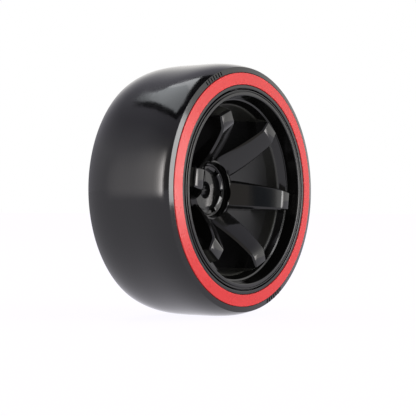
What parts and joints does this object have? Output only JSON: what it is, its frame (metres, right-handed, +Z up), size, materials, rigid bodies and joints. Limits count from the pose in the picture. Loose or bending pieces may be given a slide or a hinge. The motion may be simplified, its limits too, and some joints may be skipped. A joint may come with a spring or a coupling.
{
  "type": "model car wheel with tyre",
  "caption": "Model drift car wheel: hard slick tyre with a coloured sidewall ring on a deep-dish spoked rim with a hexagon drive socket.",
  "frame": {"origin": "centre of the wheel, on its spin axis, half way across its overall width", "axes": "the wheel spins about Y; -Y points out of the dish, away from the car; +Y points to the car; +Z is up"},
  "size_m": [0.064, 0.0264, 0.064],
  "materials": {
    "tyre_plastic": "polished black hard plastic",
    "ring_plastic": "satin red plastic",
    "rim_plastic": "glossy black moulded plastic"
  },
  "bodies": {
    "root": {"tyre": "tyre_plastic", "sidewall_ring": "ring_plastic", "rim_barrel": "rim_plastic", "rim_hub": "rim_plastic", "rim_spoke_1": "rim_plastic", "rim_spoke_2": "rim_plastic", "rim_spoke_3": "rim_plastic", "rim_spoke_4": "rim_plastic", "rim_spoke_5": "rim_plastic", "rim_spoke_6": "rim_plastic"}
  },
  "joints": []
}
